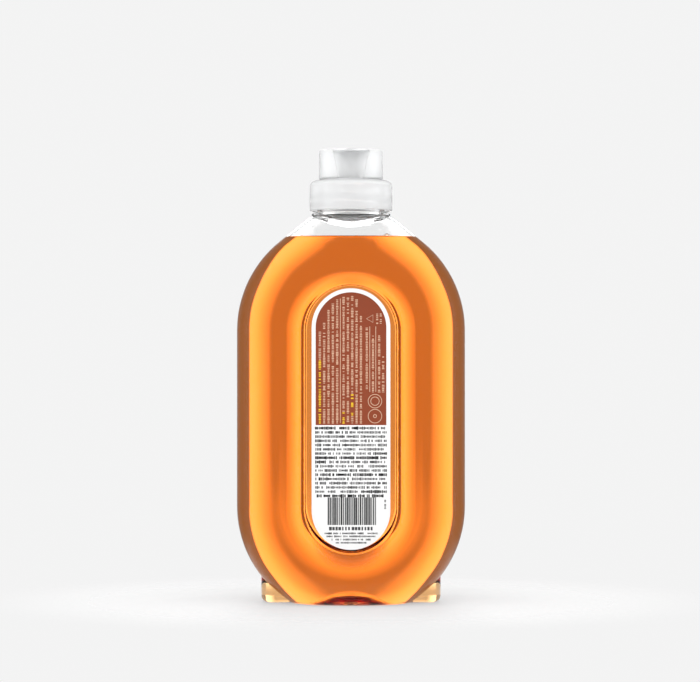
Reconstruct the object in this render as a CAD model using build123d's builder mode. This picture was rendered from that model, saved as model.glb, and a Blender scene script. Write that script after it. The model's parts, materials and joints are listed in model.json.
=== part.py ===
"""A squirt bottle of floor cleaner: a clear blown bottle, its liquid and label, and a push-pull closure.

Millimetres, +Z up. The origin is the middle of the base, on the surface that the bottle stands on.
+X is the bottle's width, and the labelled face looks along -Y.
"""

from build123d import *
import math
import os

# Bottle body: its outline from the front is a stadium, cut flat at the base and drawn in to the neck
body_width = 116.0
body_depth = 47.4
end_height = 48.8
end_spacing = 89.0
shoulder_turn = 51.0
shoulder_straight = 16.0
side_flat = 5.4
bottle_wall = 0.9

# Recessed panel, front and back, ringed by the body's rounded ridge
ridge_width = 34.4
panel_recess = 6.0
panel_draft = 20.0
panel_lip_rounding = 9.0
lip_limit_share = 0.99
panel_floor_rounding = 1.4

# Base: two feet at mid depth, a rounded edge and an oval dome pushed up into the bottle
feet_width = 91.2
feet_depth = 20.0
feet_corner = 8.0
base_rounding = 3.0
push_up_width = 44.0
push_up_depth = 24.0
push_up_height = 6.0

# Neck, with the collar that it rises from
neck_radius = 17.2
neck_wall = 1.9
neck_height = 14.1
collar_ledge = 2.9
collar_rise = 1.1
collar_blend = 0.5
collar_edge = 0.3
rim_edge = 0.5

# Liquid: how far it stands below the collar, and the gap that keeps it off the wall
headspace = 12.2
liquid_gap = 0.2

# Label on the panel that looks along -Y
label_side_margin = 3.9
label_end_margin = 2.6
label_thickness = 0.12

# Gasket between the neck's rim and the closure
gasket_thickness = 1.2
gasket_overlap = 0.6
gasket_clearance = 0.9

# Screw closure: skirt, deck, and a chimney with a stop bead, flow holes and the pin that plugs the top
closure_height = 15.5
closure_rounding = 3.0
thread_room = 2.2
skirt_wall = 1.8
skirt_edge = 0.4
deck_thickness = 1.5
chimney_radius = 4.6
chimney_wall = 1.3
chimney_height = 11.0
stop_bead_width = 0.5
stop_bead_height = 1.5
flow_plate = 1.2
flow_hole_radius = 0.65
flow_hole_count = 3
pin_radius = 1.55
pin_sink = 0.3

# Pull top: a drafted drum with a finger scoop front and back, on a tube that slides on the chimney
top_radius = 16.45
top_height = 15.0
top_draft = 0.9
top_wall = 1.5
top_roof = 1.6
top_rounding = 1.4
top_seat_gap = 0.3
dome_radius = 12.0
dome_rise = 1.0
scoop_radius = 12.0
scoop_bend = 33.0
scoop_turn = 45.0
scoop_floor = 13.0
scoop_lip = 1.0
tube_wall = 1.15
tube_seat_gap = 2.0
tube_lip_height = 1.2
tube_clearance = 0.15
squirt_hole_clearance = 0.2

# How far every cut runs past the face that it opens
overrun = 1.0

# The body's main levels
turn = math.radians(shoulder_turn)
end_radius = body_width / 2
upper_end = end_height + end_spacing
body_middle = (end_height + upper_end) / 2
side_rounding = (body_depth - side_flat) / 2
crown_radius = end_radius - shoulder_straight * math.tan(turn)
crown_centre = upper_end + shoulder_straight / math.cos(turn)
crown_turn = 180 - 2 * shoulder_turn


def shoulder_height(x, y):
    """Height of the shoulder above the crown's centre, at x along the width and y along the depth."""
    slope = math.radians(crown_turn / 2)
    side = min(max(y - body_depth / 2 + side_rounding, 0), side_rounding)
    radius = crown_radius - side_rounding + math.sqrt(side_rounding**2 - side**2)
    slope_start = radius * math.sin(slope)
    if x < slope_start:
        return math.sqrt(radius**2 - x**2)
    return radius * math.cos(slope) - (x - slope_start) * math.tan(slope)


# The panel's floor, which the label lies on
panel_floor = body_depth / 2 - panel_recess
panel_half_width = end_radius - ridge_width

# The neck's and the closure's main sizes, stacked from the shoulder upwards
neck_root = crown_centre + crown_radius - side_rounding
collar_radius = neck_radius + collar_ledge
turns = [math.radians(degrees) for degrees in range(91)]
collar_seat = max(shoulder_height(collar_radius * math.cos(t), collar_radius * math.sin(t)) for t in turns)
collar_top = crown_centre + collar_seat + collar_rise
rim_height = collar_top + neck_height
bore_radius = neck_radius - neck_wall
deck_under = rim_height + gasket_thickness
deck_top = deck_under + deck_thickness
skirt_inside = neck_radius + thread_room
skirt_radius = skirt_inside + skirt_wall
skirt_under = deck_top - closure_height
chimney_top = deck_top + chimney_height
chimney_bore = chimney_radius - chimney_wall

# The pull top's levels, and the sizes that slide on the chimney
top_under = deck_top + top_seat_gap
top_rim = top_under + top_height
dome_tip = top_rim + dome_rise
roof_under = top_rim - top_roof
rim_radius = top_radius - top_height * math.tan(math.radians(top_draft))
tube_under = deck_top + tube_seat_gap
tube_lip_top = tube_under + tube_lip_height
tube_lip_radius = chimney_radius + tube_clearance
tube_bore = tube_lip_radius + stop_bead_width
tube_radius = tube_bore + tube_wall

os.makedirs("parts", exist_ok=True)


def half_body(inset):
    """The labelled half of the body, drawn in by inset all round, with its recessed panel.

    The lip of the recess is rounded as far as the wall of the recess reaches.
    """
    draft = math.radians(panel_draft)
    lip_limit = panel_recess / math.cos(draft) / math.tan((math.pi / 2 - draft) / 2)
    lip = min(panel_lip_rounding, lip_limit_share * lip_limit) - inset
    radius = end_radius - inset
    floor_half = panel_half_width + inset * (1 - math.sin(draft)) / math.cos(draft)
    crest_width = end_radius - side_rounding - floor_half - panel_recess * math.tan(draft)

    with BuildPart() as half:
        with BuildSketch(Plane.XZ):
            with BuildLine():
                right = Line((radius, end_height), (radius, upper_end))
                right_arc = JernArc(right @ 1, right % 1, radius, shoulder_turn)
                right_slope = Line(right_arc @ 1, right_arc @ 1 + shoulder_straight * (right_arc % 1))
                crown = JernArc(right_slope @ 1, right_slope % 1, crown_radius - inset, crown_turn)
                left_slope = Line(crown @ 1, crown @ 1 + shoulder_straight * (crown % 1))
                left_arc = JernArc(left_slope @ 1, left_slope % 1, radius, shoulder_turn)
                left = Line(left_arc @ 1, (-radius, end_height))
                JernArc(left @ 1, left % 1, radius, 180)
            make_face()
        extrude(amount=body_depth / 2 - inset)
        fillet(half.faces().sort_by(Axis.Y)[0].edges(), side_rounding - inset)
        with BuildSketch(Plane.XZ.offset(panel_floor - inset)):
            with Locations((0, body_middle)):
                SlotCenterToCenter(end_spacing, 2 * floor_half, rotation=90)
        extrude(amount=panel_recess, taper=-panel_draft, mode=Mode.SUBTRACT)
        crest = half.faces().filter_by(Axis.Y).sort_by(Axis.Y)[0]
        fillet(crest.inner_wires()[0].edges(), min(lip, crest_width))
        floor = half.faces().filter_by(Axis.Y).sort_by(Axis.Y)[1]
        fillet(floor.edges(), panel_floor_rounding + inset)
    return half.part


def feet(inset):
    """The block behind the ridge whose two ends stand out as feet, drawn in by inset."""
    with BuildPart() as block:
        with BuildSketch(Plane.XY.offset(inset)):
            RectangleRounded(feet_width - 2 * inset, feet_depth - 2 * inset, feet_corner - inset)
        extrude(amount=end_height - inset)
        fillet(block.faces().sort_by(Axis.Z)[0].edges(), base_rounding - inset)
    return block.part


def push_up(inset):
    """The oval dome under the base, grown by inset: an arc turned about a line along X below the base."""
    arc_radius = (push_up_width**2 / 4 + push_up_height**2) / (2 * push_up_height)
    axis_drop = (push_up_depth**2 / 4 - push_up_height**2) / (2 * push_up_height)
    arc_drop = arc_radius - push_up_height
    half_length = math.sqrt((arc_radius + inset) ** 2 - (arc_drop - axis_drop) ** 2)
    with BuildPart() as dome:
        with BuildSketch(Plane.XZ):
            with BuildLine():
                top = (0, push_up_height + inset)
                arc = ThreePointArc((-half_length, -axis_drop), top, (half_length, -axis_drop))
                Line(arc @ 1, arc @ 0)
            make_face()
        revolve(axis=Axis((0, 0, -axis_drop), (1, 0, 0)))
    return dome.part


def body(inset):
    """The whole body up to the collar, or the same form drawn in by inset for the cavity and the liquid."""
    labelled_half = half_body(inset)
    block = feet(inset)
    dome = push_up(inset)
    with BuildPart() as form:
        add(labelled_half)
        mirror(about=Plane.XZ)
        split(bisect_by=Plane.XY.offset(inset), keep=Keep.TOP)
        split(bisect_by=Plane.XY.offset(collar_top - inset), keep=Keep.BOTTOM)
        fillet(form.faces().filter_by(Axis.Z).sort_by(Axis.Z)[0].edges(), base_rounding - inset)
        add(block)
        add(dome, mode=Mode.SUBTRACT)
    return form.part


# Cavity: the body drawn in by the wall, and the bore of the neck
inner_body = body(bottle_wall)
with BuildPart() as cavity:
    add(inner_body)
    with BuildSketch(Plane.XY.offset(neck_root)):
        Circle(bore_radius)
    extrude(amount=rim_height + overrun - neck_root)

# Bottle: the outer form with its collar blended into the shoulder, its neck, and the cavity taken out
outer_body = body(0)
with BuildPart() as bottle:
    add(outer_body)
    with BuildSketch(Plane.XY.offset(neck_root)):
        Circle(collar_radius)
    extrude(amount=collar_top - neck_root)
    seam = bottle.edges(Select.NEW).filter_by_position(Axis.Z, neck_root, collar_top, (False, False))
    fillet(seam, collar_blend)
    fillet(bottle.edges().filter_by(GeomType.CIRCLE).sort_by(Axis.Z)[-1], collar_edge)
    with BuildSketch(Plane.XY.offset(neck_root)):
        Circle(neck_radius)
    extrude(amount=rim_height - neck_root)
    fillet(bottle.edges().filter_by(GeomType.CIRCLE).sort_by(Axis.Z)[-1], rim_edge)
    add(cavity.part, mode=Mode.SUBTRACT)
bottle.part.label = "bottle"
export_step(bottle.part, "parts/bottle.step")

# Liquid, level a little below the collar
liquid_body = body(bottle_wall + liquid_gap)
with BuildPart() as cleaning_liquid:
    add(liquid_body)
    split(bisect_by=Plane.XY.offset(collar_top - headspace), keep=Keep.BOTTOM)
cleaning_liquid.part.label = "cleaning_liquid"
export_step(cleaning_liquid.part, "parts/cleaning_liquid.step")

# Label: a film on the panel's floor
with BuildPart() as back_label:
    with BuildSketch(Plane.XZ.offset(panel_floor)):
        with Locations((0, body_middle)):
            label_spacing = end_spacing + 2 * (label_side_margin - label_end_margin)
            SlotCenterToCenter(label_spacing, 2 * (panel_half_width - label_side_margin), rotation=90)
    extrude(amount=label_thickness)
back_label.part.label = "back_label"
export_step(back_label.part, "parts/back_label.step")

# Gasket: a flat ring on the neck's rim
with BuildPart() as neck_gasket:
    with BuildSketch(Plane.XY.offset(rim_height)):
        Circle(skirt_inside - gasket_clearance)
        Circle(bore_radius - gasket_overlap, mode=Mode.SUBTRACT)
    extrude(amount=gasket_thickness)
neck_gasket.part.label = "neck_gasket"
export_step(neck_gasket.part, "parts/neck_gasket.step")

# Screw closure: the skirt and deck first, then the chimney, its bead, its bore and flow holes, and the pin
with BuildPart() as screw_closure:
    with BuildSketch(Plane.XY.offset(skirt_under)):
        Circle(skirt_radius)
    extrude(amount=closure_height)
    fillet(screw_closure.edges().sort_by(Axis.Z)[-1], closure_rounding)
    with BuildSketch(Plane.XY.offset(deck_under)):
        Circle(skirt_inside)
    extrude(amount=skirt_under - deck_under, mode=Mode.SUBTRACT)
    chamfer(screw_closure.edges().group_by(Axis.Z)[0], skirt_edge)
    with BuildSketch(Plane.XY.offset(deck_top)):
        Circle(chimney_radius)
    extrude(amount=chimney_height)
    with BuildSketch(Plane.XY.offset(chimney_top)):
        Circle(chimney_radius + stop_bead_width)
    extrude(amount=-stop_bead_height)
    chamfer(screw_closure.edges().sort_by(Axis.Z)[-1], stop_bead_width)
    with BuildSketch(Plane.XY.offset(deck_under)):
        Circle(chimney_bore)
    extrude(amount=chimney_top - flow_plate - deck_under, mode=Mode.SUBTRACT)
    with BuildSketch(Plane.XY.offset(chimney_top)):
        with PolarLocations((pin_radius + chimney_bore) / 2, flow_hole_count):
            Circle(flow_hole_radius)
    extrude(amount=-flow_plate, mode=Mode.SUBTRACT)
    with BuildSketch(Plane.XY.offset(chimney_top)):
        Circle(pin_radius)
    extrude(amount=dome_tip - pin_sink - chimney_top)
screw_closure.part.label = "screw_closure"
export_step(screw_closure.part, "parts/screw_closure.step")


def scoops(growth, height):
    """The two finger scoops up to a height: a circle bent inwards about a line along X, grown by growth."""
    centre = scoop_floor + scoop_radius
    with BuildPart() as pair:
        with BuildSketch(Plane.XY.offset(top_under)):
            with Locations((0, -centre)):
                Circle(scoop_radius + growth)
        revolve(axis=Axis((0, scoop_bend - centre, top_under), (-1, 0, 0)), revolution_arc=scoop_turn)
        mirror(about=Plane.XZ)
        split(bisect_by=Plane.XY.offset(height), keep=Keep.BOTTOM)
    return pair.part


# Hollow of the pull top: the space between the drum and the tube, kept a wall away from the scoops
inner_scoops = scoops(top_wall, roof_under + overrun)
with BuildPart() as top_hollow:
    with BuildSketch(Plane.XZ):
        Polygon(
            (tube_radius, roof_under),
            (rim_radius - top_wall, roof_under),
            (top_radius - top_wall, top_under),
            (0, top_under),
            (0, tube_under),
            (tube_radius, tube_under),
            align=None,
        )
    revolve(axis=Axis.Z)
    add(inner_scoops, mode=Mode.SUBTRACT)

# Pull top: the drum with its domed roof, then the scoops, the hollow, the tube's bore and the squirt hole
outer_scoops = scoops(0, top_rim - scoop_lip)
with BuildPart() as pull_top:
    with BuildSketch(Plane.XZ):
        with BuildLine():
            base = Line((0, top_under), (top_radius, top_under))
            rim = Polyline(base @ 1, (rim_radius, top_rim), (dome_radius, top_rim))
            dome_curve = (dome_radius**2 + dome_rise**2) / (2 * dome_rise)
            dome = RadiusArc(rim @ 1, (0, dome_tip), -dome_curve)
            Line(dome @ 1, base @ 0)
        make_face()
    revolve(axis=Axis.Z)
    fillet(pull_top.edges().filter_by(GeomType.CIRCLE).group_by(SortBy.RADIUS)[-2], top_rounding)
    add(outer_scoops, mode=Mode.SUBTRACT)
    add(top_hollow.part, mode=Mode.SUBTRACT)
    with BuildSketch(Plane.XY.offset(tube_lip_top)):
        Circle(tube_lip_radius)
    extrude(amount=-tube_lip_height, mode=Mode.SUBTRACT)
    with BuildSketch(Plane.XY.offset(tube_lip_top)):
        Circle(tube_bore)
    extrude(amount=roof_under - tube_lip_top, mode=Mode.SUBTRACT)
    with BuildSketch(Plane.XY.offset(roof_under)):
        Circle(pin_radius + squirt_hole_clearance)
    extrude(amount=dome_tip + overrun - roof_under, mode=Mode.SUBTRACT)
pull_top.part.label = "pull_top"
export_step(pull_top.part, "parts/pull_top.step")
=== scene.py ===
import json
import math

import bpy
import numpy as np
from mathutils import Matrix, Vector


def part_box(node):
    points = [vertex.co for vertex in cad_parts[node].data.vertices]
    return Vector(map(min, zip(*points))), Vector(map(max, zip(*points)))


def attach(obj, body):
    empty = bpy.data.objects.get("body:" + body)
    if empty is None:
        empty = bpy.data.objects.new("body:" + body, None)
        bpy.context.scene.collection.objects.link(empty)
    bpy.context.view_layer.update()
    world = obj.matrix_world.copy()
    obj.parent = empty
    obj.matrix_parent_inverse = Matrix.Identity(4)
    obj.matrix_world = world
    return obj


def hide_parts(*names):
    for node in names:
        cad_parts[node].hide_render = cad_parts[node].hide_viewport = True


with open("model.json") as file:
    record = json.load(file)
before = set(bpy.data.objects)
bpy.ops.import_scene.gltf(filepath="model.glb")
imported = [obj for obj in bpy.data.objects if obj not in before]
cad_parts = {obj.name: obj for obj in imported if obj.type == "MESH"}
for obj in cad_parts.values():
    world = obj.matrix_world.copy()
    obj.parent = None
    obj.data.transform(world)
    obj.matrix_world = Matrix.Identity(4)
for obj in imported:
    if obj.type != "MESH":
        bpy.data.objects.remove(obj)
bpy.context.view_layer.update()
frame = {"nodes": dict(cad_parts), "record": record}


# Bottle: one shell of clear PET, stretch-blown in a mould, with a wall of about a millimetre.
# It is glossy inside and out, with the faint ripple and haze of blown plastic.
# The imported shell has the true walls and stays, so only its finish is made here.

mm = 0.001
noise_low = 0.3
noise_high = 0.7
pet_ior = 1.52
pet_tint = (0.95, 0.955, 0.955, 1)
pet_glint = (0.22, 0.22, 0.22, 1)
pet_roughness = (0, 0.02)
pet_haze_size = 30 * mm
blown_ripple_size = 14 * mm
blown_ripple_depth = 0.03 * mm


def new_material(name):
    """A new material, with its nodes and links."""
    material = bpy.data.materials.new(name)
    material.use_nodes = True
    return material, material.node_tree.nodes, material.node_tree.links


def dress(piece, material):
    """Gives a piece one material all over."""
    piece.data.materials.clear()
    piece.data.materials.append(material)


def noise_on_piece(nodes, links, size, detail=2):
    """A noise of a given size on the piece's own coordinates, from 0 to 1."""
    place = nodes.new("ShaderNodeTexCoord")
    noise = nodes.new("ShaderNodeTexNoise")
    noise.inputs["Scale"].default_value = 1 / size
    noise.inputs["Detail"].default_value = detail
    links.new(place.outputs["Object"], noise.inputs["Vector"])
    return noise.outputs["Fac"]


def spread(nodes, links, noise, lowest, highest):
    """Spreads the middle of a noise, where most of its values lie, over a range."""
    node = nodes.new("ShaderNodeMapRange")
    node.inputs["From Min"].default_value = noise_low
    node.inputs["From Max"].default_value = noise_high
    node.inputs["To Min"].default_value = lowest
    node.inputs["To Max"].default_value = highest
    links.new(noise, node.inputs["Value"])
    return node.outputs["Result"]


def bump(nodes, links, shader, height, depth):
    """Raises a shader's surface by a height from 0 to 1, times a depth."""
    node = nodes.new("ShaderNodeBump")
    node.inputs["Strength"].default_value = 1
    node.inputs["Distance"].default_value = depth
    links.new(height, node.inputs["Height"])
    links.new(node.outputs["Normal"], shader.inputs["Normal"])


clear_pet, nodes, links = new_material("clear_pet")
pet = nodes["Principled BSDF"]
pet.inputs["Base Color"].default_value = pet_tint
pet.inputs["Transmission Weight"].default_value = 1
pet.inputs["IOR"].default_value = pet_ior
pet.inputs["Specular Tint"].default_value = pet_glint
haze = noise_on_piece(nodes, links, pet_haze_size)
links.new(spread(nodes, links, haze, *pet_roughness), pet.inputs["Roughness"])
bump(nodes, links, pet, noise_on_piece(nodes, links, blown_ripple_size, 0), blown_ripple_depth)
dress(frame["nodes"]["bottle"], clear_pet)


# Neck thread: a right-hand thread of clear PET, moulded with the neck for the closure to screw on.
# It follows a helix round the neck, sunk a little into the wall, and its ends run out into the wall.
# The record's coupling of the closure's turn to its rise gives the pitch.

thread_pitch = frame["record"]["behaviour"]["couplings"][0]["ratio"] * math.tau
thread_turns = 1.5
thread_root_width = 1.8 * mm
thread_crest_width = 0.8 * mm
thread_sink = 0.15 * mm
thread_run_out_share = 0.09
thread_end_share = 0.05
helix_steps = 96
neck_radius = 17.2 * mm
neck_thread_depth = 1.4 * mm
rim_to_thread = 9.6 * mm


def reckon(nodes, links, operation, *values):
    """The result of one mathematical operation on numbers or sockets."""
    node = nodes.new("ShaderNodeMath")
    node.operation = operation
    for socket, value in zip(node.inputs, values):
        if isinstance(value, (int, float)):
            socket.default_value = value
        else:
            links.new(value, socket)
    return node.outputs[0]


def new_tree(name, inputs):
    """An empty tree of geometry nodes with named inputs, and the sockets that give their values."""
    tree = bpy.data.node_groups.new(name, "GeometryNodeTree")
    tree.interface.new_socket("Geometry", in_out="INPUT", socket_type="NodeSocketGeometry")
    for label, kind in inputs.items():
        tree.interface.new_socket(label, in_out="INPUT", socket_type=f"NodeSocket{kind}")
    tree.interface.new_socket("Geometry", in_out="OUTPUT", socket_type="NodeSocketGeometry")
    given = tree.nodes.new("NodeGroupInput").outputs
    return tree, given


def finish_tree(tree, given, geometry):
    """Ends a tree in real geometry with the given material."""
    whole = tree.nodes.new("GeometryNodeRealizeInstances")
    paint = tree.nodes.new("GeometryNodeSetMaterial")
    result = tree.nodes.new("NodeGroupOutput")
    tree.links.new(geometry, whole.inputs["Geometry"])
    tree.links.new(whole.outputs["Geometry"], paint.inputs["Geometry"])
    tree.links.new(given["Material"], paint.inputs["Material"])
    tree.links.new(paint.outputs["Geometry"], result.inputs["Geometry"])


def grown_piece(name, guide, tree, values):
    """The plain mesh that a tree makes of a guide mesh, as a piece."""
    piece = bpy.data.objects.new(name, guide)
    bpy.context.scene.collection.objects.link(piece)
    modifier = piece.modifiers.new("grow", "NODES")
    modifier.node_group = tree
    for socket in tree.interface.items_tree:
        if socket.in_out == "INPUT" and socket.name in values:
            modifier[socket.identifier] = values[socket.name]
    ready = piece.evaluated_get(bpy.context.evaluated_depsgraph_get())
    mesh = bpy.data.meshes.new_from_object(ready)
    piece.modifiers.clear()
    piece.data = mesh
    mesh.name = name
    return piece


def face_outwards(mesh):
    """Turns the faces of a closed mesh round if the volume inside them comes out below zero."""
    mesh.calc_loop_triangles()
    points = np.array([vertex.co for vertex in mesh.vertices])
    corners = points[np.array([triangle.vertices for triangle in mesh.loop_triangles])]
    if np.einsum("ij,ij->i", corners[:, 0], np.cross(corners[:, 1], corners[:, 2])).sum() < 0:
        mesh.flip_normals()


thread_inputs = {
    "Turns": "Float",
    "Pitch": "Float",
    "Root Radius": "Float",
    "Start Height": "Float",
    "Upper Root": "Vector",
    "Upper Crest": "Vector",
    "Lower Crest": "Vector",
    "Lower Root": "Vector",
    "Run-out": "Float",
    "Material": "Material",
}
thread_tree, given = new_tree("screw_thread", thread_inputs)
nodes, links = thread_tree.nodes, thread_tree.links
helix = nodes.new("GeometryNodeCurveSpiral")
helix.inputs["Resolution"].default_value = helix_steps
links.new(given["Turns"], helix.inputs["Rotations"])
links.new(given["Root Radius"], helix.inputs["Start Radius"])
links.new(given["Root Radius"], helix.inputs["End Radius"])
links.new(reckon(nodes, links, "MULTIPLY", given["Turns"], given["Pitch"]), helix.inputs["Height"])
start = nodes.new("ShaderNodeCombineXYZ")
links.new(given["Start Height"], start.inputs["Z"])
raised = nodes.new("GeometryNodeTransform")
links.new(helix.outputs["Curve"], raised.inputs["Geometry"])
links.new(start.outputs["Vector"], raised.inputs["Translation"])
upright = nodes.new("GeometryNodeSetCurveNormal")
upright.mode = "Z_UP"
links.new(raised.outputs["Geometry"], upright.inputs["Curve"])
from_start = nodes.new("GeometryNodeSplineParameter").outputs["Factor"]
from_end = reckon(nodes, links, "SUBTRACT", 1, from_start)
run_out = nodes.new("ShaderNodeMapRange")
run_out.interpolation_type = "SMOOTHSTEP"
run_out.inputs["To Min"].default_value = thread_end_share
links.new(reckon(nodes, links, "MINIMUM", from_start, from_end), run_out.inputs["Value"])
links.new(given["Run-out"], run_out.inputs["From Max"])
tapered = nodes.new("GeometryNodeSetCurveRadius")
links.new(upright.outputs["Curve"], tapered.inputs["Curve"])
links.new(run_out.outputs["Result"], tapered.inputs["Radius"])
section = nodes.new("GeometryNodeCurvePrimitiveQuadrilateral")
section.mode = "POINTS"
for point, corner in enumerate(("Upper Root", "Upper Crest", "Lower Crest", "Lower Root"), start=1):
    links.new(given[corner], section.inputs[f"Point {point}"])
solid = nodes.new("GeometryNodeCurveToMesh")
solid.inputs["Fill Caps"].default_value = True
links.new(tapered.outputs["Curve"], solid.inputs["Curve"])
links.new(section.outputs["Curve"], solid.inputs["Profile Curve"])
finish_tree(thread_tree, given, solid.outputs["Mesh"])


def screw_thread(name, root_radius, depth, start_height, material):
    """A thread that stands out from a root radius by a depth, inwards where the depth is negative."""
    sunk = -math.copysign(thread_sink, depth)
    sizes = {
        "Turns": thread_turns,
        "Pitch": thread_pitch,
        "Root Radius": root_radius,
        "Start Height": start_height,
        "Upper Root": (sunk, thread_root_width / 2, 0),
        "Upper Crest": (depth, thread_crest_width / 2, 0),
        "Lower Crest": (depth, -thread_crest_width / 2, 0),
        "Lower Root": (sunk, -thread_root_width / 2, 0),
        "Run-out": thread_run_out_share,
        "Material": material,
    }
    piece = grown_piece(name, bpy.data.meshes.new("guide"), thread_tree, sizes)
    face_outwards(piece.data)
    return piece


rim_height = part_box("bottle")[1].z
neck_thread_start = rim_height - rim_to_thread
neck_thread = screw_thread("neck_thread", neck_radius, neck_thread_depth, neck_thread_start, clear_pet)
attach(neck_thread, "bottle")


# Cleaning liquid: a clear amber liquid, filled to a level in the shoulder and wetting the wall all round.
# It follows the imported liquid, pushed out across the gap until it reaches a little into the wall,
# and its level is dished, because the liquid climbs the wall at its edge.

liquid_gap = 0.2 * mm
liquid_overlap = 0.15 * mm
liquid_ior = 1.333
liquid_tint = (1, 1, 1, 1)
liquid_glint = (0, 0, 0, 1)
amber_stain = (0.95, 0.615, 0.12, 1)
amber_stain_density = 100
meniscus_depth = 0.8 * mm
ring_shares = (0.985, 0.965, 0.94, 0.9, 0.8, 0.5)
drop_shares = (0.4, 0.66, 0.83, 0.94, 1, 1)
same_place_digits = 8
same_facing = 0.999
level_facing = 0.99
level_slack = 0.001 * mm
least_share = 0.001


def merged_arrays(mesh):
    """Points, triangles and corner normals of a mesh, with the points that share a place made one."""
    points = np.empty(len(mesh.vertices) * 3)
    mesh.vertices.foreach_get("co", points)
    rounded = np.round(points.reshape(-1, 3), same_place_digits)
    places, index = np.unique(rounded, axis=0, return_inverse=True)
    corners = np.empty(len(mesh.loops), dtype=np.int64)
    mesh.loops.foreach_get("vertex_index", corners)
    normals = np.empty(len(mesh.loops) * 3)
    mesh.corner_normals.foreach_get("vector", normals)
    return places, index.reshape(-1)[corners].reshape(-1, 3), normals.reshape(-1, 3, 3)


def push_out(places, triangles, normals, distance, level):
    """Moves each point out by a distance along all the faces that meet there, except at the level."""
    meeting = [[] for _ in places]
    for place, normal in zip(triangles.reshape(-1), normals.reshape(-1, 3)):
        if not any(np.dot(normal, known) > same_facing for known in meeting[place]):
            meeting[place].append(normal)
    moved = places.copy()
    for place, faces in enumerate(meeting):
        at_level = places[place, 2] > level - level_slack
        steps = [0.0 if at_level and face[2] > level_facing else distance for face in faces]
        moved[place] += np.linalg.lstsq(np.array(faces), np.array(steps), rcond=least_share)[0]
    return moved


def rim_loop(triangles):
    """The points round the edge of some triangles, in order."""
    sides = {(a, b) for a, b, c in triangles} | {(b, c) for a, b, c in triangles}
    sides |= {(c, a) for a, b, c in triangles}
    following = {a: b for a, b in sides if (b, a) not in sides}
    loop = [min(following)]
    while following[loop[-1]] != loop[0]:
        loop.append(following[loop[-1]])
    return loop


def mesh_piece(name, points, faces):
    """A piece made of points and faces."""
    mesh = bpy.data.meshes.new(name)
    mesh.from_pydata(points, [], faces)
    piece = bpy.data.objects.new(name, mesh)
    bpy.context.scene.collection.objects.link(piece)
    return piece


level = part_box("cleaning_liquid")[1].z
places, triangles, normals = merged_arrays(frame["nodes"]["cleaning_liquid"].data)
wet = push_out(places, triangles, normals, liquid_gap + liquid_overlap, level)
on_top = (places[triangles][:, :, 2] > level - level_slack).all(axis=1)
rim = rim_loop(triangles[on_top].tolist())
points = [tuple(point) for point in wet]
faces = triangles[~on_top].tolist()
corner_normals = [tuple(normal) for normal in normals[~on_top].reshape(-1, 3)]
outer = rim
for share, drop in zip(ring_shares, drop_shares):
    inner = [len(points) + step for step in range(len(rim))]
    points += [(wet[p][0] * share, wet[p][1] * share, level - meniscus_depth * drop) for p in rim]
    faces += [[outer[k - 1], outer[k], inner[k], inner[k - 1]] for k in range(len(rim))]
    outer = inner
points.append((0, 0, level - meniscus_depth))
faces += [[outer[k - 1], outer[k], len(points) - 1] for k in range(len(rim))]
corner_normals += [(0, 0, 0)] * (sum(len(face) for face in faces) - len(corner_normals))
amber_liquid = mesh_piece("amber_liquid", points, faces)
amber_liquid.data.shade_smooth()
amber_liquid.data.normals_split_custom_set(corner_normals)

amber, nodes, links = new_material("amber_liquid")
liquid = nodes["Principled BSDF"]
liquid.inputs["Base Color"].default_value = liquid_tint
liquid.inputs["Transmission Weight"].default_value = 1
liquid.inputs["IOR"].default_value = liquid_ior
liquid.inputs["Roughness"].default_value = 0
liquid.inputs["Specular Tint"].default_value = liquid_glint
stain = nodes.new("ShaderNodeVolumeAbsorption")
stain.inputs["Color"].default_value = amber_stain
stain.inputs["Density"].default_value = amber_stain_density
links.new(stain.outputs["Volume"], nodes["Material Output"].inputs["Volume"])
dress(amber_liquid, amber)
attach(amber_liquid, "bottle")
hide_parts("cleaning_liquid")


# Bubbles: a few small ones left on the level when the bottle was filled, against the labelled side's wall.
# Each is a ball of air in a thin film of the liquid, and floats with its middle just above the level.

bubble_places = (17.7 * mm, 19.0 * mm, 19.8 * mm, 16.4 * mm, -24.5 * mm, 3.1 * mm)
bubble_radii = (0.95 * mm, 0.5 * mm, 0.32 * mm, 0.36 * mm, 0.42 * mm, 0.3 * mm)
bubble_roundness = 4
wall_clearance_share = 1.3
float_share = 0.2
film_amber = (1, 0.86, 0.62, 1)
film_pale = (1, 0.97, 0.92, 1)
film_swirl_size = 1 * mm


def blended(nodes, links, factor, first, second):
    """A colour that goes from a first to a second one with a factor from 0 to 1."""
    node = nodes.new("ShaderNodeMix")
    node.data_type = "RGBA"
    node.inputs["A"].default_value = first
    node.inputs["B"].default_value = second
    links.new(factor, node.inputs["Factor"])
    return node.outputs["Result"]


bubble_tree, given = new_tree("bubbles", {"Material": "Material"})
nodes, links = bubble_tree.nodes, bubble_tree.links
ball = nodes.new("GeometryNodeMeshIcoSphere")
ball.inputs["Radius"].default_value = 1
ball.inputs["Subdivisions"].default_value = bubble_roundness
radius = nodes.new("GeometryNodeInputNamedAttribute")
radius.data_type = "FLOAT"
radius.inputs["Name"].default_value = "bubble_radius"
balls = nodes.new("GeometryNodeInstanceOnPoints")
links.new(given["Geometry"], balls.inputs["Points"])
links.new(ball.outputs["Mesh"], balls.inputs["Instance"])
links.new(radius.outputs["Attribute"], balls.inputs["Scale"])
smooth = nodes.new("GeometryNodeSetShadeSmooth")
links.new(balls.outputs["Instances"], smooth.inputs["Geometry"])
finish_tree(bubble_tree, given, smooth.outputs["Geometry"])

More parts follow.
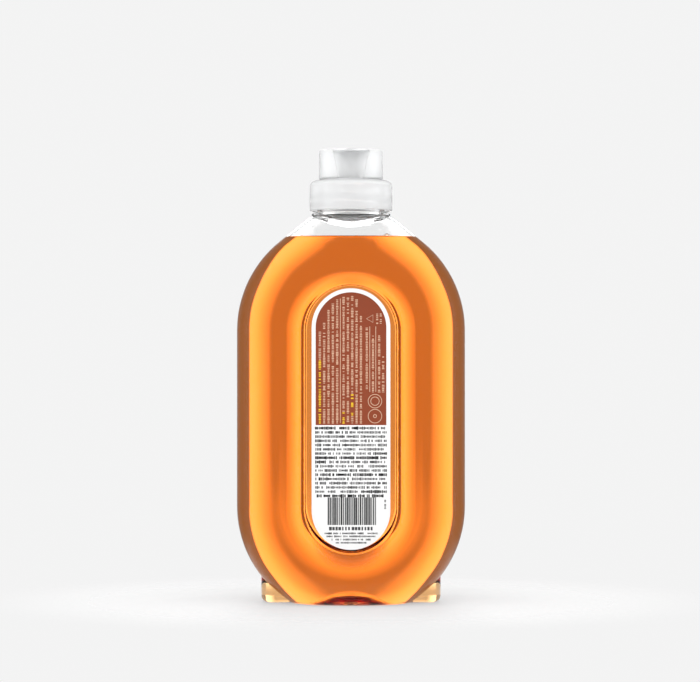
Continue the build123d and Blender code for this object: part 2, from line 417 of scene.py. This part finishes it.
front_rim = sorted((wet[p][0], wet[p][1]) for p in rim if wet[p][1] < 0)
wall_y = np.interp(bubble_places, [x for x, y in front_rim], [y for x, y in front_rim])
guide = bpy.data.meshes.new("guide")
centres = [
    (x, y + wall_clearance_share * r, level + float_share * r)
    for x, y, r in zip(bubble_places, wall_y, bubble_radii)
]
guide.from_pydata(centres, [], [])
guide.attributes.new("bubble_radius", "FLOAT", "POINT").data.foreach_set("value", bubble_radii)

bubble_film, nodes, links = new_material("bubble_film")
skin = nodes["Principled BSDF"]
skin.inputs["Transmission Weight"].default_value = 1
skin.inputs["IOR"].default_value = liquid_ior
skin.inputs["Roughness"].default_value = 0
swirl = noise_on_piece(nodes, links, film_swirl_size)
links.new(blended(nodes, links, swirl, film_amber, film_pale), skin.inputs["Base Color"])
level_bubbles = grown_piece("level_bubbles", guide, bubble_tree, {"Material": bubble_film})
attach(level_bubbles, "bottle")


# Back label: one white plastic film with round ends, cut out and stuck to the floor of the recessed panel.
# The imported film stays, and gets the fine grain of a printed surface.

film_white = (0.82, 0.82, 0.815, 1)
film_roughness = 0.42
film_grain_size = 0.5 * mm
film_grain_depth = 0.004 * mm
grain_shade = 0.96
grain_roughness = 0.04


def printed_material(name, colour, roughness):
    """Ink or film: a colour with a fine grain in its colour, gloss and surface."""
    material, nodes, links = new_material(name)
    shader = nodes["Principled BSDF"]
    grain = noise_on_piece(nodes, links, film_grain_size)
    darker = [grain_shade * value for value in colour[:3]] + [1]
    links.new(blended(nodes, links, grain, darker, colour), shader.inputs["Base Color"])
    gloss = spread(nodes, links, grain, roughness - grain_roughness, roughness + grain_roughness)
    links.new(gloss, shader.inputs["Roughness"])
    bump(nodes, links, shader, grain, film_grain_depth)
    return material


label_low, label_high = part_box("back_label")
label_half_width = label_high.x
arch_centre = label_high.z - label_half_width
foot_arch_centre = label_low.z + label_half_width
film_front = label_low.y
film_back = label_high.y
dress(frame["nodes"]["back_label"], printed_material("label_film", film_white, film_roughness))


# Label glue: the adhesive on the film's reverse, which sticks it to the bottle and is as white as the film.
# It is one thin layer, a little smaller than the film, and is pressed into the film and the wall.

glue_margin = 0.2 * mm
glue_in_film = 0.05 * mm
glue_in_wall = 0.06 * mm
glue_roughness = 0.5
half_round_steps = 48


def flat_layer(name, outline, front, back, material):
    """A closed layer between two depths, with an outline of (x, z) points, anticlockwise from the front."""
    count = len(outline)
    points = [(x, front, z) for x, z in outline] + [(x, back, z) for x, z in outline]
    faces = [list(range(count)), list(range(2 * count - 1, count - 1, -1))]
    faces += [[k, k + count, (k + 1) % count + count, (k + 1) % count] for k in range(count)]
    plate = mesh_piece(name, points, faces)
    dress(plate, material)
    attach(plate, "bottle")


def half_round(start, centre_height, radius):
    """Points along half a circle on the label's middle line, anticlockwise from a starting angle."""
    angles = [start + math.pi * step / half_round_steps for step in range(half_round_steps + 1)]
    return [(radius * math.cos(a), centre_height + radius * math.sin(a)) for a in angles]


glue_radius = label_half_width - glue_margin
glue_outline = half_round(0, arch_centre, glue_radius) + half_round(math.pi, foot_arch_centre, glue_radius)
glue = printed_material("label_back", film_white, glue_roughness)
flat_layer("label_glue", glue_outline, film_back - glue_in_film, film_back + glue_in_wall, glue)


# Brown field: the upper half of the label, printed solid in brown ink inside a white border.
# It is a layer of ink on the film's front, round at the top and cut straight at its foot.

brown = (0.25, 0.046, 0.013, 1)
ink_roughness = 0.4
ink_thickness = 0.03 * mm
ink_sink = 0.01 * mm
field_margin = 2.0 * mm
field_height = 66.5 * mm

field_half_width = label_half_width - field_margin
field_foot = label_high.z - field_margin - field_height
field_front = film_front - ink_thickness
field_back = film_front + ink_sink
field_outline = half_round(0, arch_centre, field_half_width)
field_outline += [(-field_half_width, field_foot), (field_half_width, field_foot)]
brown_ink = printed_material("brown_ink", brown, ink_roughness)
flat_layer("label_field", field_outline, field_front, field_back, brown_ink)


# Rows in the brown field: lines of small print in cream and yellow ink, which run up the label.
# Each line is a row of ink blocks along a guide, of mixed widths and heights, with gaps between them.

cream = (0.6, 0.36, 0.24, 1)
yellow = (0.80, 0.50, 0.015, 1)
block_widths = (0.65, 1.3)
block_heights = (0.7, 1.15)
row_gap_share = 0.15
field_print = {"advance": 0.82 * mm, "width": 0.52 * mm, "height": 1.15 * mm}
row_step = 2.17 * mm
row_margin = 2.1 * mm
row_foot_margin = 1.1 * mm
rule_gap = 1.6 * mm
arch_margin = 2.2 * mm
rag = 14 * mm
rag_shares = (0.1, 0.4, 0.15, 0.05, 0, 0, 0.05, 0, 0.1, 0.65)
yellow_runs = {0: (0, 31 * mm), 5: (0, 5 * mm), 7: (4 * mm, 14 * mm)}
yellow_gap = 0.9 * mm
side_row_places = (7.9 * mm, 11.0 * mm, 14.1 * mm, 16.1 * mm)
side_row_lengths = (32 * mm, 28 * mm, 28 * mm, 17.5 * mm)
side_row_foot = field_foot + 16.6 * mm
note_row_places = (13.1 * mm, 14.9 * mm)
note_row_length = 4.6 * mm
note_row_foot = field_foot + 51 * mm

block_inputs = {
    "Advance": "Float",
    "Block": "Vector",
    "Least Scale": "Vector",
    "Most Scale": "Vector",
    "Gap Share": "Float",
    "Seed": "Int",
    "Material": "Material",
}
block_tree, given = new_tree("ink_blocks", block_inputs)
nodes, links = block_tree.nodes, block_tree.links
lines = nodes.new("GeometryNodeMeshToCurve")
links.new(given["Geometry"], lines.inputs["Mesh"])
steps = nodes.new("GeometryNodeCurveToPoints")
steps.mode = "LENGTH"
links.new(lines.outputs["Curve"], steps.inputs["Curve"])
links.new(given["Advance"], steps.inputs["Length"])
gaps = nodes.new("FunctionNodeRandomValue")
gaps.data_type = "BOOLEAN"
links.new(given["Gap Share"], gaps.inputs["Probability"])
links.new(given["Seed"], gaps.inputs["Seed"])
kept = nodes.new("GeometryNodeDeleteGeometry")
kept.domain = "POINT"
links.new(steps.outputs["Points"], kept.inputs["Geometry"])
links.new(gaps.outputs["Value"], kept.inputs["Selection"])
heading = nodes.new("FunctionNodeAlignRotationToVector")
heading.axis = "X"
heading.pivot_axis = "Y"
links.new(steps.outputs["Tangent"], heading.inputs["Vector"])
sizes = nodes.new("FunctionNodeRandomValue")
sizes.data_type = "FLOAT_VECTOR"
links.new(given["Least Scale"], sizes.inputs["Min"])
links.new(given["Most Scale"], sizes.inputs["Max"])
links.new(given["Seed"], sizes.inputs["Seed"])
block = nodes.new("GeometryNodeMeshCube")
links.new(given["Block"], block.inputs["Size"])
rows = nodes.new("GeometryNodeInstanceOnPoints")
links.new(kept.outputs["Geometry"], rows.inputs["Points"])
links.new(block.outputs["Mesh"], rows.inputs["Instance"])
links.new(heading.outputs["Rotation"], rows.inputs["Rotation"])
links.new(sizes.outputs["Value"], rows.inputs["Scale"])
finish_tree(block_tree, given, rows.outputs["Instances"])


def ink_middle(surface):
    """The depth at the middle of a layer of ink on a surface."""
    return surface - (ink_thickness - ink_sink) / 2


def printed_rows(name, lines, surface, sizes, ink, seed, gap_share=row_gap_share, heights=block_heights):
    """A piece of ink blocks in rows, along lines that are given by their two ends as (x, z) points."""
    guide = bpy.data.meshes.new("guide")
    points = [(x, ink_middle(surface), z) for line in lines for x, z in line]
    guide.from_pydata(points, [(k, k + 1) for k in range(0, len(points), 2)], [])
    settings = {
        "Advance": sizes["advance"],
        "Block": (sizes["width"], ink_thickness + ink_sink, sizes["height"]),
        "Least Scale": (block_widths[0], 1, heights[0]),
        "Most Scale": (block_widths[1], 1, heights[1]),
        "Gap Share": gap_share,
        "Seed": seed,
        "Material": ink,
    }
    piece = grown_piece(name, guide, block_tree, settings)
    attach(piece, "bottle")


def under_arch(x):
    """The height of the field's round top at x, less a margin."""
    reach = field_half_width - arch_margin
    return arch_centre + math.sqrt(max(reach**2 - x**2, 0))


row_foot = field_foot + row_foot_margin
cream_rows, yellow_rows = [], []
x = row_margin - field_half_width
for row, share in enumerate(rag_shares):
    top = under_arch(x) - share * rag
    low, high = yellow_runs.get(row, (0, 0))
    if low > 0:
        cream_rows.append(((x, row_foot), (x, row_foot + low - yellow_gap)))
    if high > 0:
        yellow_rows.append(((x, row_foot + low), (x, row_foot + high)))
        high += yellow_gap
    cream_rows.append(((x, row_foot + high), (x, top)))
    x += row_step
    if row == len(rag_shares) // 2 - 1:
        field_rule = x - row_step + rule_gap
        x = field_rule + rule_gap
for x, length in zip(side_row_places, side_row_lengths):
    cream_rows.append(((x, side_row_foot), (x, side_row_foot + length)))
for x in note_row_places:
    cream_rows.append(((x, note_row_foot), (x, note_row_foot + note_row_length)))

cream_ink = printed_material("cream_ink", cream, ink_roughness)
yellow_ink = printed_material("yellow_ink", yellow, ink_roughness)
printed_rows("field_words", cream_rows, field_front, field_print, cream_ink, 3)
printed_rows("field_words_yellow", yellow_rows, field_front, field_print, yellow_ink, 4)


# Rows on the white film: lines of small print across the label, below the brown field and near its foot,
# and one short line up its edge. They are the same kind of ink blocks, in grey, with bolder ones in black.

grey = (0.05, 0.05, 0.052, 1)
black = (0.012, 0.012, 0.013, 1)
plain_print = {"advance": 0.78 * mm, "width": 0.6 * mm, "height": 1.3 * mm}
bold_print = {"advance": 0.84 * mm, "width": 0.74 * mm, "height": 1.45 * mm}
small_print = {"advance": 0.62 * mm, "width": 0.47 * mm, "height": 0.9 * mm}
bold_gap_share = 0.12
text_rows = 17
text_row_step = 2.12 * mm
text_top = field_foot - 1.5 * mm
text_half_width = field_half_width - 0.1 * mm
bold_run_shares = {
    0: (0, 0.69), 6: (0.72, 1), 7: (0, 1), 8: (0, 0.16),
    11: (0.2, 1), 12: (0, 0.21), 15: (0.74, 1), 16: (0, 1),
}
word_space_share = 0.02
foot_row_heights = (36.1 * mm, 34.6 * mm, 33.0 * mm, 31.4 * mm)
foot_row_halves = (13 * mm, 12 * mm, 9.5 * mm, 7.4 * mm)
edge_row_place = 17.1 * mm
edge_row_foot = 48.5 * mm
edge_row_top = 54 * mm


def text_run(row, start_share, end_share):
    """A stretch of a row of text, between two shares of the row's length."""
    z = text_top - row * text_row_step
    left, right = [text_half_width * (2 * share - 1) for share in (start_share, end_share)]
    return ((left, z), (right, z))


plain_rows, bold_rows = [], []
for row in range(text_rows):
    low, high = bold_run_shares.get(row, (0, 0))
    if high > low:
        bold_rows.append(text_run(row, low, high))
    if low > 0:
        plain_rows.append(text_run(row, 0, low - word_space_share))
    if high < 1:
        plain_rows.append(text_run(row, high + word_space_share if high > 0 else 0, 1))
small_rows = [((-half, z), (half, z)) for half, z in zip(foot_row_halves, foot_row_heights)]
small_rows.append(((edge_row_place, edge_row_foot), (edge_row_place, edge_row_top)))

grey_ink = printed_material("grey_ink", grey, ink_roughness)
black_ink = printed_material("black_ink", black, ink_roughness)
printed_rows("label_words", plain_rows, film_front, plain_print, grey_ink, 5)
printed_rows("label_words_bold", bold_rows, film_front, bold_print, black_ink, 6, bold_gap_share)
printed_rows("label_words_small", small_rows, film_front, small_print, grey_ink, 7)


# Bar pattern: plain upright bars of mixed widths, printed on the film in black ink.
# Two short rows of even grey blocks stand below the bars.

bar_half_width = 12.3 * mm
bar_middle = 47.2 * mm
bar_print = {"advance": 0.92 * mm, "width": 0.66 * mm, "height": 13.8 * mm}
bar_gap_share = 0.1
bar_heights = (1, 1)
under_bar_print = {"advance": 1.55 * mm, "width": 1.1 * mm, "height": 1.8 * mm}
under_bar_heights = (0.9, 1)
under_bar_height = 38.5 * mm
under_bar_near = 1 * mm
under_bar_far = 10.3 * mm

bar_line = ((-bar_half_width, bar_middle), (bar_half_width, bar_middle))
left_blocks = ((-under_bar_far, under_bar_height), (-under_bar_near, under_bar_height))
right_blocks = ((under_bar_near, under_bar_height), (under_bar_far, under_bar_height))
block_lines = [left_blocks, right_blocks]
printed_rows("bar_pattern", [bar_line], film_front, bar_print, black_ink, 11, bar_gap_share, bar_heights)
printed_rows("bar_blocks", block_lines, film_front, under_bar_print, grey_ink, 12, 0, under_bar_heights)


# Rules and marks: thin strokes of cream ink on the brown field, printed with the rows.
# They are straight rules between the rows, two pairs of plain rings and a plain triangle.

stroke_width = 0.36 * mm
ring_corners = 48
upper_ring = (12.0 * mm, field_foot + 12.0 * mm)
lower_ring = (12.0 * mm, field_foot + 4.5 * mm)
ring_radius = 3.4 * mm
inner_ring_radius = 2.1 * mm
dot_radius = 0.75 * mm
triangle_place = (9.9 * mm, field_foot + 53.3 * mm)
triangle_radius = 2.2 * mm
side_rules = (9.4 * mm, 12.4 * mm)
side_rule_top = side_row_foot + 32.8 * mm
towards_panel = (0, 1, 0)

stroke_inputs = {"Width": "Float", "Thickness": "Float", "Material": "Material"}
stroke_tree, given = new_tree("ink_strokes", stroke_inputs)
nodes, links = stroke_tree.nodes, stroke_tree.links
paths = nodes.new("GeometryNodeMeshToCurve")
links.new(given["Geometry"], paths.inputs["Mesh"])
facing = nodes.new("GeometryNodeSetCurveNormal")
facing.mode = "FREE"
facing.inputs["Normal"].default_value = towards_panel
links.new(paths.outputs["Curve"], facing.inputs["Curve"])
nib = nodes.new("GeometryNodeCurvePrimitiveQuadrilateral")
links.new(given["Thickness"], nib.inputs["Width"])
links.new(given["Width"], nib.inputs["Height"])
stroke = nodes.new("GeometryNodeCurveToMesh")
stroke.inputs["Fill Caps"].default_value = True
links.new(facing.outputs["Curve"], stroke.inputs["Curve"])
links.new(nib.outputs["Curve"], stroke.inputs["Profile Curve"])
finish_tree(stroke_tree, given, stroke.outputs["Mesh"])


def regular_shape(centre, radius, corners, turn=0):
    """The corners of a regular shape about a centre on the label."""
    angles = [turn + math.tau * corner / corners for corner in range(corners)]
    return [(centre[0] + radius * math.cos(a), centre[1] + radius * math.sin(a)) for a in angles]


shapes = [
    regular_shape(upper_ring, ring_radius, ring_corners),
    regular_shape(upper_ring, inner_ring_radius, ring_corners),
    regular_shape(lower_ring, ring_radius, ring_corners),
    regular_shape(lower_ring, dot_radius, ring_corners),
    regular_shape(triangle_place, triangle_radius, 3, math.pi),
]
rules = [((field_rule, row_foot), (field_rule, under_arch(field_rule)))]
rules += [((x, side_row_foot), (x, side_rule_top)) for x in side_rules]
points, edges = [], []
for shape in shapes:
    first = len(points)
    points += [(x, ink_middle(field_front), z) for x, z in shape]
    edges += [(first + k, first + (k + 1) % len(shape)) for k in range(len(shape))]
for rule in rules:
    edges.append((len(points), len(points) + 1))
    points += [(x, ink_middle(field_front), z) for x, z in rule]
guide = bpy.data.meshes.new("guide")
guide.from_pydata(points, edges, [])
strokes = {"Width": stroke_width, "Thickness": ink_thickness + ink_sink, "Material": cream_ink}
field_marks = grown_piece("field_marks", guide, stroke_tree, strokes)
face_outwards(field_marks.data)
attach(field_marks, "bottle")


# Gasket: a ring punched from a sheet of soft white foam, pressed between the neck's rim and the closure.
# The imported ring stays, and gets the fine pores of the foam.

foam_dark = (0.74, 0.74, 0.72, 1)
foam_light = (0.92, 0.92, 0.90, 1)
foam_roughness = (0.7, 0.9)
foam_pore_size = 0.4 * mm
foam_pore_depth = 0.08 * mm

foam, nodes, links = new_material("gasket_foam")
pad = nodes["Principled BSDF"]
pores = noise_on_piece(nodes, links, foam_pore_size)
links.new(blended(nodes, links, pores, foam_dark, foam_light), pad.inputs["Base Color"])
links.new(spread(nodes, links, pores, *foam_roughness), pad.inputs["Roughness"])
bump(nodes, links, pad, pores, foam_pore_depth)
dress(frame["nodes"]["neck_gasket"], foam)


# Screw closure: one injection moulding of clear polypropylene, slightly milky, screwed on to the neck.
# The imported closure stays, and the thread inside its skirt runs half a pitch below the neck's.

closure_ior = 1.49
closure_tint = (0.94, 0.945, 0.95, 1)
closure_clearness = 0.58
closure_glint = 0.11
closure_roughness = (0.1, 0.17)
closure_haze_size = 6 * mm
closure_flow_size = 4 * mm
closure_flow_depth = 0.01 * mm
skirt_inside = 19.4 * mm
closure_thread_depth = -1.5 * mm

clear_closure, nodes, links = new_material("clear_closure")
milky = nodes["Principled BSDF"]
milky.inputs["Base Color"].default_value = closure_tint
milky.inputs["Transmission Weight"].default_value = closure_clearness
milky.inputs["Specular IOR Level"].default_value = closure_glint
milky.inputs["IOR"].default_value = closure_ior
haze = noise_on_piece(nodes, links, closure_haze_size)
links.new(spread(nodes, links, haze, *closure_roughness), milky.inputs["Roughness"])
bump(nodes, links, milky, noise_on_piece(nodes, links, closure_flow_size, 0), closure_flow_depth)
dress(frame["nodes"]["screw_closure"], clear_closure)

closure_thread_start = neck_thread_start - thread_pitch / 2
closure_thread = screw_thread(
    "closure_thread", skirt_inside, closure_thread_depth, closure_thread_start, clear_closure
)
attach(closure_thread, "closure")


# Pull top: one moulding of the same clear polypropylene, with a finger scoop front and back.
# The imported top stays. Its tube slides up and down on the closure's chimney.

dress(frame["nodes"]["pull_top"], clear_closure)


# Floor: a pale sheet under the bottle that glows faintly, so that light also comes up through the base.
# It is solid under the bottle, and fades out in an oval round it until only the backdrop shows.

floor_radius = 900 * mm
floor_sides = 96
floor_grey = (0.36, 0.36, 0.36, 1)
floor_glow = (1, 1, 1, 1)
floor_glow_strength = 0.4
floor_roughness = 0.7
fade_squeeze = (1, 1.8, 1)
fade_start = 55 * mm
fade_end = 200 * mm

rim_angles = [math.tau * side / floor_sides for side in range(floor_sides)]
floor_rim = [(floor_radius * math.cos(a), floor_radius * math.sin(a), 0) for a in rim_angles]
floor = mesh_piece("floor", floor_rim, [range(floor_sides)])
pale, nodes, links = new_material("pale_floor")
ground = nodes["Principled BSDF"]
ground.inputs["Base Color"].default_value = floor_grey
ground.inputs["Emission Color"].default_value = floor_glow
ground.inputs["Emission Strength"].default_value = floor_glow_strength
ground.inputs["Roughness"].default_value = floor_roughness
place = nodes.new("ShaderNodeTexCoord")
oval = nodes.new("ShaderNodeVectorMath")
oval.operation = "MULTIPLY"
oval.inputs[1].default_value = fade_squeeze
links.new(place.outputs["Object"], oval.inputs[0])
reach = nodes.new("ShaderNodeVectorMath")
reach.operation = "LENGTH"
links.new(oval.outputs["Vector"], reach.inputs[0])
fade = nodes.new("ShaderNodeMapRange")
fade.interpolation_type = "SMOOTHSTEP"
fade.inputs["From Min"].default_value = fade_start
fade.inputs["From Max"].default_value = fade_end
fade.inputs["To Min"].default_value = 1
fade.inputs["To Max"].default_value = 0
links.new(reach.outputs["Value"], fade.inputs["Value"])
links.new(fade.outputs["Result"], ground.inputs["Alpha"])
dress(floor, pale)


# Studio light: soft light from all round, with a broad bright screen behind the bottle.
# The screen is dimmest in a patch straight behind the bottle and dark past its sides, for the amber's bands.
# What the camera sees, what surfaces mirror and what lights or shines through them each have their own level.

backdrop_seen = 0.9
band_middle = math.radians(1.5)
band_half = math.radians(3.5)
screen_rise = math.radians(7)
brightest = 4
white = (1, 1, 1, 1)
screen_glow = {
    0: 0.92, 2.2: 0.92, 5: 1.65, 9: 2.3, 13: 2.8, 19.3: 2.9, 20.9: 0.45, 60: 0.45, 80: 2.2, 115: 2.2,
    125: 1.5, 148: 1.5, 165: 0.7, 180: 0.7,
}
mirrored_glow = {0: 1.35, 8: 1.15, 18: 0.27, 80: 0.18, 92: 0.68, 108: 0.68, 120: 0.27, 180: 0.11}

world = bpy.data.worlds.new("studio")
bpy.context.scene.world = world
world.use_nodes = True
nodes, links = world.node_tree.nodes, world.node_tree.links
direction = nodes.new("ShaderNodeTexCoord")
split = nodes.new("ShaderNodeSeparateXYZ")
links.new(direction.outputs["Generated"], split.inputs[0])
sideways = reckon(nodes, links, "ARCTAN2", split.outputs["X"], split.outputs["Y"])
elevation = reckon(nodes, links, "ARCSINE", split.outputs["Z"])
from_middle = reckon(nodes, links, "ABSOLUTE", reckon(nodes, links, "SUBTRACT", elevation, band_middle))
past_band = reckon(nodes, links, "MAXIMUM", reckon(nodes, links, "SUBTRACT", from_middle, band_half), 0)
upwards = reckon(nodes, links, "MINIMUM", past_band, screen_rise)
sideways_squared = reckon(nodes, links, "MULTIPLY", sideways, sideways)
upwards_squared = reckon(nodes, links, "MULTIPLY", upwards, upwards)
from_band = reckon(nodes, links, "SQRT", reckon(nodes, links, "ADD", sideways_squared, upwards_squared))
from_axis = reckon(nodes, links, "ARCCOSINE", split.outputs["Y"])
from_back = reckon(nodes, links, "MINIMUM", from_band, from_axis)
half_turns = reckon(nodes, links, "DIVIDE", from_back, math.pi)


def glow_ramp(glow):
    """How bright the studio is, by the angle in degrees from straight behind the bottle."""
    node = nodes.new("ShaderNodeValToRGB")
    stops = node.color_ramp.elements
    for degrees in sorted(glow)[1:-1]:
        stops.new(degrees / 180)
    for stop, degrees in zip(stops, sorted(glow)):
        stop.color = [glow[degrees] / brightest] * 3 + [1]
    links.new(half_turns, node.inputs["Fac"])
    return reckon(nodes, links, "MULTIPLY", node.outputs["Color"], brightest)


def pick(where, there, elsewhere):
    """One brightness for the rays of a kind, as a number or a socket, and another for the rest."""
    node = nodes.new("ShaderNodeMix")
    node.data_type = "FLOAT"
    links.new(where, node.inputs["Factor"])
    links.new(elsewhere, node.inputs["A"])
    if isinstance(there, float):
        node.inputs["B"].default_value = there
    else:
        links.new(there, node.inputs["B"])
    return node.outputs["Result"]


ray = nodes.new("ShaderNodeLightPath")
not_passed_through = reckon(nodes, links, "SUBTRACT", 1, ray.outputs["Is Transmission Ray"])
mirrored = reckon(nodes, links, "MULTIPLY", ray.outputs["Is Glossy Ray"], not_passed_through)
lit = pick(mirrored, glow_ramp(mirrored_glow), glow_ramp(screen_glow))
shown = pick(ray.outputs["Is Camera Ray"], backdrop_seen, lit)
links.new(shown, nodes["Background"].inputs["Strength"])
nodes["Background"].inputs["Color"].default_value = white


# Camera: straight in front of the label, level with a place a little above the bottle's middle.
# Light may pass through many faces, because a ray meets both sides of each clear wall.

camera_lens = 96.8
camera_place = (-0.5 * mm, -960 * mm, 132.4 * mm)
camera_turn = (math.radians(90), 0, 0)
nearest_seen = 10 * mm
clear_faces = 32

camera_data = bpy.data.cameras.new("camera")
camera_data.lens = camera_lens
camera_data.clip_start = nearest_seen
camera = bpy.data.objects.new("camera", camera_data)
camera.location = camera_place
camera.rotation_euler = camera_turn
scene = bpy.context.scene
scene.collection.objects.link(camera)
scene.camera = camera
scene.view_settings.view_transform = "Standard"
scene.cycles.max_bounces = clear_faces
scene.cycles.transmission_bounces = clear_faces
scene.cycles.transparent_max_bounces = clear_faces
